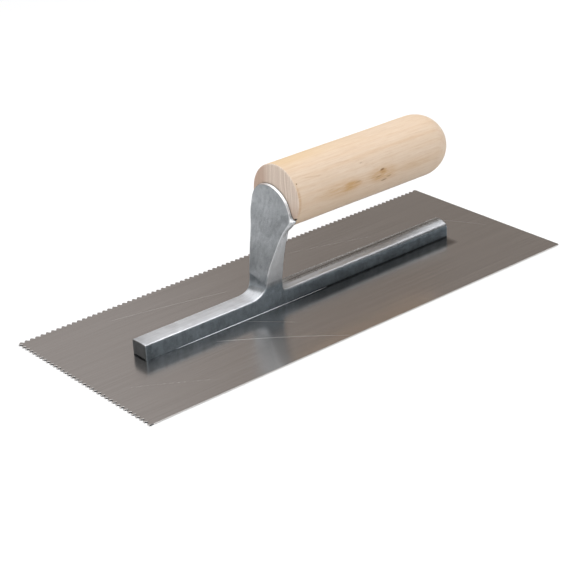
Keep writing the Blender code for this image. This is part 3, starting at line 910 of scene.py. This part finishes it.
def paint_post(coat, tone):
    """Paint shade on the post by its height, a painted highlight on its near facet and ridge, and painted
    shade on the block under it.
    """
    _, _, z = coat.axes()
    endward, sideward, upward = coat.facing()
    # Painted light and shade by height: the post is darker low down, lighter above z 40, and darker again up
    # into the flange.
    level = coat.ease(z, 29.0, 40.0, 0.78, 1.14)
    level = coat.math("SUBTRACT", level, coat.ease(z, 47.0, 60.0, 0.0, 0.32))
    tone = coat.shade(coat.spread(z, 20.0, 24.0), tone, level)
    above_block = coat.spread(z, 15.6, 16.8)
    # Painted light on the post's near facet, strongest low down.
    facet_light = coat.times(
        coat.spread(sideward, -0.6, -0.85),
        above_block,
        coat.spread(z, 22.0, 40.0, 0.5, 0.12),
    )
    tone = coat.mix(facet_light, tone, (0.84, 0.86, 0.88))
    # A painted highlight along the ridge between the toe face and the near facet.
    ridge_highlight = coat.times(
        coat.spread(sideward, -0.25, -0.45),
        coat.spread(sideward, -0.8, -0.62),
        above_block,
        coat.spread(endward, -0.3, -0.5),
    )
    tone = coat.mix(coat.times(ridge_highlight, 0.75), tone, PAINTED_HIGHLIGHT)
    # Painted shade on the toe face of the block under the post.
    block_shade = coat.times(
        coat.spread(z, 12.0, 14.0),
        coat.ease(z, 22.5, 18.5),
        coat.spread(upward, 0.3, 0.1),
        coat.spread(endward, -0.3, -0.7, 0.12, 1.0),
    )
    return coat.shade(block_shade, tone, (0.46, 0.49, 0.51))


def paint_bar(coat, tone, drawn):
    """Paint shade on the bar's upright faces, and light and shade on its top. Return the tone, and masks for
    the whole top and for the smooth far part of its heel end's top, which holds a painted dark reflection.
    """
    x, y, z = coat.axes()
    endward, _, upward = coat.facing()
    on_bar = coat.ease(z, 16.0, 12.5)
    toe = coat.spread(x, -14.0, -20.0)
    heel = coat.spread(x, -16.0, -6.0)
    # Painted shade: the upright faces are darker and bluer, darkest at the heel and the toe's end, and at the
    # heel's foot.
    upright_shade = coat.times(on_bar, coat.ease(upward, 0.45, 0.15))
    tone = coat.shade(upright_shade, tone, (0.77, 0.86, 0.92))
    tone = coat.shade(coat.times(upright_shade, heel), tone, (0.90, 0.91, 0.92))
    toe_end_shade = coat.times(coat.spread(endward, -0.6, -0.85), coat.spread(x, -101.0, -103.0), on_bar)
    tone = coat.shade(toe_end_shade, tone, (0.62, 0.56, 0.52))
    foot_shade = coat.times(coat.spread(z, 2.0, 1.1), heel)
    tone = coat.shade(foot_shade, tone, (0.25, 0.25, 0.25))
    # Painted light: the top is bright and even towards the toe and darker at the toe's end. The heel end's
    # top gets painted shade, and a painted dark reflection on its far part leaves its near side lighter.
    on_top = coat.times(on_bar, coat.ease(upward, 0.6, 0.93))
    fine = coat.spread(drawn, 0.3, 0.7)
    toe_tone = coat.mix(fine, (0.72, 0.74, 0.77), (0.87, 0.89, 0.92))
    tone = coat.mix(coat.times(on_top, toe, 0.9), tone, toe_tone)
    tone = coat.shade(coat.spread(x, -94.0, -102.0), tone, (0.80, 0.80, 0.80))
    # Painted shade on the heel end's crowned top, deeper between x 25 and 75.
    crown = coat.times(on_bar, heel, coat.ease(upward, 0.3, 0.6))
    tone = coat.mix(coat.times(crown, 0.75), tone, (0.66, 0.675, 0.70))
    tone = coat.shade(coat.times(crown, coat.spread(x, 25.0, 75.0)), tone, (0.72, 0.71, 0.70))
    # A painted dark reflection darkens the far part of the heel end's top.
    heel_top = coat.times(crown, coat.ease(y, -2.4, -1.0))
    painted_heel_reflection = coat.mix(fine, (0.31, 0.30, 0.288), (0.385, 0.375, 0.36))
    tone = coat.mix(coat.times(heel_top, 0.92), tone, painted_heel_reflection)
    # Two thin dark lines run along the heel end's far side.
    for line_y, half_width, strength in ((0.6, 0.45, 0.8), (4.2, 0.5, 0.85)):
        off = coat.math("ABSOLUTE", coat.math("SUBTRACT", y, line_y))
        mark = coat.times(
            coat.spread(off, half_width, 0.3 * half_width),
            on_bar,
            heel,
            coat.spread(x, 92.0, 70.0),
            coat.spread(upward, 0.0, 0.2),
        )
        tone = coat.mix(coat.times(mark, strength), tone, (0.10, 0.095, 0.09))
    return tone, on_top, heel_top


def rim_and_seam(coat):
    """Return masks for the painted highlight on the flange's rim and for the painted shadow in the seam
    between it and the wood.
    """
    x, y, z = coat.axes()
    rim_highlight = coat.times(coat.spread(z, 51.5, 53.5), coat.spread(coat.facing()[0], -0.88, -0.65))
    axis = handle_frame().to_3x3() @ Vector((1.0, 0.0, 0.0))
    slant = coat.math("ADD", coat.times(y, axis.y), coat.times(z, axis.z))
    slant = coat.math("ADD", slant, SEAT_GAP - HANDLE_FRONT.z * axis.z - HANDLE_FRONT.x * axis.x)
    from_seat = coat.math("ADD", coat.math("DIVIDE", slant, axis.x), x)
    seam_shadow = coat.times(coat.spread(from_seat, -0.22, -0.12), coat.spread(z, 46.0, 49.0))
    return rim_highlight, seam_shadow


def casting_finish():
    """Cast aluminium: a mottled, gritty skin, with painted shade on its upright faces and painted light and
    shade on its top.
    """
    coat = Finish("cast_aluminium")
    grit = coat.grain((1500.0, 1500.0, 1500.0), 2.0, 0.6)
    mottle = coat.grain((430.0, 430.0, 260.0), 4.0, 0.62)
    broad = coat.grain((110.0, 110.0, 70.0), 3.0, 0.55)
    drawn = coat.grain((60.0, 1200.0, 1200.0), 3.0, 0.6)
    tone = coat.mix(coat.spread(mottle, 0.32, 0.68), CAST_DARK, CAST_LIGHT)
    tone = coat.mix(coat.spread(broad, 0.4, 0.65, 0.0, 0.4), tone, CAST_DARK)
    tone = coat.mix(coat.spread(grit, 0.5, 0.75, 0.0, 0.35), tone, (0.66, 0.67, 0.68))
    tone = paint_post(coat, tone)
    tone, on_top, heel_top = paint_bar(coat, tone, drawn)
    rim_highlight, seam_shadow = rim_and_seam(coat)
    # A painted highlight on the flange's rim, then a painted shadow in the seam by the wood.
    tone = coat.mix(rim_highlight, tone, PAINTED_HIGHLIGHT)
    tone = coat.mix(seam_shadow, tone, (0.02, 0.017, 0.014))
    rough = coat.spread(mottle, 0.25, 0.75, 0.36, 0.52)
    rough = coat.math("SUBTRACT", rough, coat.times(heel_top, 0.16))
    rough = coat.math("ADD", rough, coat.times(seam_shadow, 0.3))
    relief = coat.math("ADD", coat.times(grit, 0.5), mottle)
    bent = coat.bump(relief, coat.spread(on_top, 0.0, 1.0, 0.8, 0.4), 0.00024)
    bent = coat.bump(drawn, 0.12, 0.00005, bent)
    return coat.complete(Base_Color=tone, Metallic=1.0, Roughness=rough, Normal=bent)


# The tree's pith lies this far from the handle's axis, towards its near side, and a little above it.
PITH_DISTANCE = 60.0
PITH_HEIGHT = 6.0
# Heights count for less than widths, so the rings are tall ovals.
RING_SQUASH = 0.55
# Soft golden-brown streaks on the handle's near side: middle (x, z), half size, slope, strength, colour
WOOD_STREAKS = (
    ((31.0, -0.6), (23.0, 5.0), 0.0, 0.5, (0.62, 0.38, 0.17)),
    ((37.5, -0.4), (9.5, 3.2), 0.02, 0.75, (0.58, 0.33, 0.12)),
    ((60.5, -0.2), (14.0, 6.0), -0.03, 0.55, (0.60, 0.36, 0.15)),
    ((57.5, -0.2), (6.5, 2.8), 0.05, 0.6, (0.56, 0.32, 0.12)),
    ((61.0, 1.6), (3.6, 1.7), 0.0, 0.6, (0.52, 0.27, 0.08)),
    ((86.0, -1.5), (20.0, 2.6), -0.03, 0.4, (0.62, 0.40, 0.20)),
    ((13.5, 10.4), (9.0, 0.45), -0.12, 0.5, (0.58, 0.37, 0.21)),
    ((39.0, 11.8), (14.0, 0.5), -0.08, 0.4, (0.60, 0.40, 0.24)),
    ((1.3, 1.0), (1.3, 11.0), 0.0, 0.55, (0.58, 0.34, 0.16)),
)
# Small dark knots and flaws on the near side: middle (x, z), half size and strength
WOOD_KNOTS = (
    ((60.4, 2.3), (1.9, 0.7), 0.85),
    ((61.8, -3.9), (2.8, 0.6), 0.6),
    ((65.5, -2.6), (2.2, 0.5), 0.45),
    ((57.5, -0.9), (2.6, 0.45), 0.4),
    ((42.5, 0.6), (3.0, 0.4), 0.35),
    ((1.9, 9.7), (0.45, 0.45), 0.95),
    ((47.0, 9.0), (1.2, 0.3), 0.35),
)
KNOT_SLOPE = 0.05


def growth_rings(coat, y, z):
    """Return the distance from the pith in millimetres, swaying a little along the grain."""
    sway = coat.grain((9.0, 40.0, 40.0), 2.0, 0.5)
    pith_y = coat.math("ADD", y, PITH_DISTANCE)
    pith_z = coat.times(coat.math("SUBTRACT", z, PITH_HEIGHT), RING_SQUASH)
    ring = coat.math("SQRT", coat.square_sum(pith_y, pith_z))
    return coat.math("ADD", ring, coat.times(coat.math("SUBTRACT", sway, 0.5), 5.0))


def end_grain(coat, y, z, ring):
    """Return the tone of the end grain: striped by the rings, redder on the far side, and browner and darker
    below as painted shade.
    """
    stripe = coat.bands(ring, 1.0, 2.5)
    speck = coat.grain((1400.0, 1400.0, 1400.0), 2.0, 0.6)
    tone = coat.mix(coat.spread(stripe, 0.38, 0.62), (0.86, 0.73, 0.62), (0.70, 0.56, 0.46))
    tone = coat.mix(coat.ease(y, 3.0, 11.0, 0.0, 0.75), tone, (0.54, 0.36, 0.27))
    tone = coat.mix(coat.spread(speck, 0.4, 0.75, 0.0, 0.25), tone, (0.55, 0.41, 0.32))
    # Painted shade: the end grain is browner and darker low down.
    return coat.mix(coat.ease(z, 2.0, -8.0, 0.0, 0.7), tone, (0.60, 0.44, 0.34))


def wood_finish():
    """Sanded, unvarnished pale hardwood: growth rings, fibres, short flecks, knotty streaks and end grain."""
    coat = Finish("handle_wood")
    x, y, z = coat.axes()
    ring = growth_rings(coat, y, z)
    bands = coat.bands(ring, 0.8, 3.0)
    fibre = coat.grain((50.0, 1700.0, 1700.0), 3.0, 0.6)
    fleck = coat.grain((150.0, 1300.0, 1300.0), 3.0, 0.6)
    streak = coat.grain((12.0, 280.0, 280.0), 3.0, 0.55)
    cloud = coat.grain((26.0, 70.0, 70.0), 3.0, 0.55)
    tone = coat.mix(coat.spread(cloud, 0.3, 0.7), (0.755, 0.585, 0.43), (0.80, 0.645, 0.505))
    for pattern, low, high, strength, colour in (
        (bands, 0.5, 0.75, 0.35, (0.70, 0.50, 0.33)),
        (streak, 0.5, 0.7, 0.5, (0.72, 0.51, 0.33)),
        (fibre, 0.5, 0.75, 0.32, (0.61, 0.42, 0.27)),
        (fleck, 0.53, 0.7, 0.28, (0.60, 0.40, 0.25)),
        (fleck, 0.42, 0.3, 0.3, (0.86, 0.73, 0.59)),
    ):
        tone = coat.mix(coat.spread(pattern, low, high, 0.0, strength), tone, colour)
    # A golden tinge along the top, widest near the front.
    wide = coat.times(coat.ease(y, -9.0, 1.0), coat.ease(x, 70.0, 10.0), 0.55)
    gold = coat.math("MAXIMUM", wide, coat.ease(y, 2.0, 9.0, 0.0, 0.6))
    tone = coat.mix(coat.times(gold, coat.ease(z, 2.0, 9.0)), tone, (0.76, 0.54, 0.29))
    # The streaks are broken up by the flecks.
    near = coat.ease(y, -7.0, -13.0)
    broken = coat.times(coat.spread(fleck, 0.35, 0.62, 0.45, 1.0), near)
    for centre, size, slope, strength, colour in WOOD_STREAKS:
        spot = coat.times(coat.patch(x, z, centre, size, slope), broken, strength)
        tone = coat.mix(spot, tone, colour)
    for centre, size, strength in WOOD_KNOTS:
        spot = coat.times(coat.patch(x, z, centre, size, KNOT_SLOPE), near, strength)
        tone = coat.mix(spot, tone, (0.24, 0.11, 0.03))
    # Painted shade: the underside is a little darker.
    tone = coat.shade(coat.ease(z, -11.5, -15.0), tone, (0.80, 0.82, 0.86))
    # End grain shows at the flat front, and little by little over the dome.
    end = coat.math("MAXIMUM", coat.ease(x, 0.9, 0.2), coat.ease(x, 108.0, 120.0, 0.0, 0.5))
    tone = coat.mix(end, tone, end_grain(coat, y, z, ring))
    # A painted shadow: a black spot on the wood's rim in the gap where the flange's lug ends.
    tone = coat.mix(coat.ball((0.5, -14.6, -9.2), 1.1), tone, (0.01, 0.008, 0.006))
    rough = coat.spread(streak, 0.3, 0.7, 0.52, 0.64)
    bent = coat.bump(fibre, 0.2, 0.00006)
    bent = coat.bump(fleck, 0.15, 0.00006, bent)
    bent = coat.bump(bands, 0.1, 0.0001, bent)
    return coat.complete(Base_Color=tone, Roughness=rough, Normal=bent, Specular_IOR_Level=0.35)


def machined_finish(name, light, dark):
    """Plain bright steel with turned or drawn marks and a little tarnish."""
    coat = Finish(name)
    marks = coat.grain((900.0, 900.0, 900.0), 3.0, 0.6)
    stain = coat.grain((220.0, 220.0, 220.0), 3.0, 0.6)
    tarnish = tuple(0.7 * part for part in dark)
    tone = coat.mix(coat.spread(marks, 0.3, 0.7), dark, light)
    tone = coat.mix(coat.spread(stain, 0.5, 0.8, 0.0, 0.5), tone, tarnish)
    rough = coat.spread(marks, 0.25, 0.75, 0.24, 0.4)
    bent = coat.bump(marks, 0.25, 0.00005)
    return coat.complete(Base_Color=tone, Metallic=1.0, Roughness=rough, Normal=bent)


# ---- stage

FLOOR_RADIUS = 6000.0
FLOOR_DROP = 0.05


def make_floor():
    """Make the pale floor: a very large round sheet just under the blade."""
    coat = Finish("studio_floor")
    tint = coat.grain((3.0, 3.0, 3.0), 2.0, 0.5)
    tone = coat.mix(coat.spread(tint, 0.3, 0.7), (0.93, 0.93, 0.93), (0.95, 0.95, 0.95))
    material = coat.complete(Base_Color=tone, Roughness=0.9, Specular_IOR_Level=0.0)
    shape = bmesh.new()
    bmesh.ops.create_circle(shape, cap_ends=True, segments=96, radius=FLOOR_RADIUS)
    bmesh.ops.translate(shape, verts=shape.verts, vec=(0.0, 0.0, -FLOOR_DROP))
    floor = to_object("studio_floor", shape, material)


# Each light's name, place, target, width, height, power and colour, in metres and watts
SOFTBOXES = (
    ("softbox_above", (-0.1, 0.0, 2.2), (0.0, 0.0, 0.0), 3.0, 3.0, 52.0, (1.0, 1.0, 1.0)),
    ("softbox_front", (-1.0, -1.5, 1.5), (0.0, 0.0, 0.05), 1.2, 1.0, 11.5, (1.0, 0.98, 0.965)),
    ("softbox_right", (1.7, -0.35, 1.5), (0.0, 0.0, 0.02), 0.9, 0.9, 8.0, (0.97, 0.985, 1.0)),
)


def make_softbox(name, place, target, width, height, power, colour):
    """Add a rectangular area light that looks at a target."""
    light = bpy.data.lights.new(name, "AREA")
    light.shape = "RECTANGLE"
    light.size = width
    light.size_y = height
    light.energy = power
    light.color = colour
    lamp = bpy.data.objects.new(name, light)
    bpy.context.scene.collection.objects.link(lamp)
    lamp.location = place
    lamp.rotation_euler = (Vector(target) - Vector(place)).to_track_quat("-Z", "Y").to_euler()


WALL_LEFT = (0.44, 0.41, 0.395)
WALL_RIGHT = (0.285, 0.252, 0.228)
WALL_FRONT = (0.05, 0.055, 0.062)
WALL_SIDE = (0.27, 0.275, 0.28)
CEILING = (0.72, 0.73, 0.75)
CEILING_START = math.sin(math.radians(34.0))
CEILING_FULL = math.sin(math.radians(50.0))


def make_world():
    """Make the studio's plain walls, lighter and warmer behind the object, under a pale ceiling."""
    world = bpy.data.worlds.new("studio")
    bpy.context.scene.world = world
    world.use_nodes = True
    world.node_tree.nodes.clear()
    nodes = Nodes(world.node_tree)
    direction = nodes.add("ShaderNodeTexCoord").outputs["Generated"]

    def towards(heading, low, high):
        """Return a mask that grows as the direction turns to a heading in degrees."""
        angle = math.radians(heading)
        inputs = {0: direction, 1: (math.cos(angle), math.sin(angle), 0.0)}
        product = nodes.add("ShaderNodeVectorMath", {"operation": "DOT_PRODUCT"}, inputs)
        return nodes.ease(product.outputs["Value"], low, high)

    height = nodes.add("ShaderNodeSeparateXYZ", None, {0: direction}).outputs[2]
    overhead = nodes.times(nodes.ease(height, CEILING_START, CEILING_FULL), towards(40.0, -0.05, 0.4))
    back = nodes.mix(towards(143.0, -0.05, 0.09), WALL_RIGHT, WALL_LEFT)
    sides = nodes.mix(towards(140.0, -0.15, 0.5), WALL_FRONT, WALL_SIDE)
    walls = nodes.mix(towards(64.0, 0.4, 0.8), sides, back)
    room = nodes.mix(overhead, walls, CEILING)
    # The camera sees plain white. Only the light and the reflections see the room.
    seen = nodes.add("ShaderNodeLightPath").outputs["Is Camera Ray"]
    colour = nodes.mix(seen, room, (1.0, 1.0, 1.0))
    background = nodes.add("ShaderNodeBackground", None, {"Color": colour, "Strength": 1.0})
    nodes.add("ShaderNodeOutputWorld", None, {0: background.outputs[0]})


def make_camera():
    """Make the camera and turn it by its heading, its dip below level and its roll."""
    camera_data = bpy.data.cameras.new("camera")
    camera_data.sensor_width = 36.0
    camera_data.lens = CAMERA_LENS
    camera = bpy.data.objects.new("camera", camera_data)
    bpy.context.scene.collection.objects.link(camera)
    turn = Matrix.Rotation(CAMERA_HEADING - math.pi / 2.0, 4, "Z")
    tilt = Matrix.Rotation(math.pi / 2.0 - CAMERA_DIP, 4, "X")
    roll = Matrix.Rotation(CAMERA_ROLL, 4, "Z")
    camera.matrix_world = Matrix.Translation(CAMERA_PLACE) @ turn @ tilt @ roll
    bpy.context.scene.camera = camera


# ---- scene


def place_piece(piece, node):
    """Let a new piece ride on the one body, and stand for its CAD node if it has one."""
    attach(piece, "root")
    if node is not None:
        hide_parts(node)


steel = blade_finish()
aluminium = casting_finish()
wood = wood_finish()
bolt_steel = machined_finish("bolt_steel", (0.62, 0.62, 0.63), (0.48, 0.48, 0.49))
rivet_steel = machined_finish("rivet_steel", (0.60, 0.59, 0.58), (0.46, 0.45, 0.44))

place_piece(make_blade(steel), "blade")
place_piece(make_mounting(aluminium), "mounting")
place_piece(make_flash(aluminium), None)
place_piece(make_handle(wood), "handle")

for node_name, node_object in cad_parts.items():
    if node_name.startswith("rivet_"):
        node_object.material_slots[0].material = rivet_steel
    if node_name in ("handle_bolt", "handle_washer"):
        node_object.material_slots[0].material = bolt_steel

make_floor()
for softbox in SOFTBOXES:
    make_softbox(*softbox)
make_world()
make_camera()
bpy.context.scene.view_settings.view_transform = "Standard"
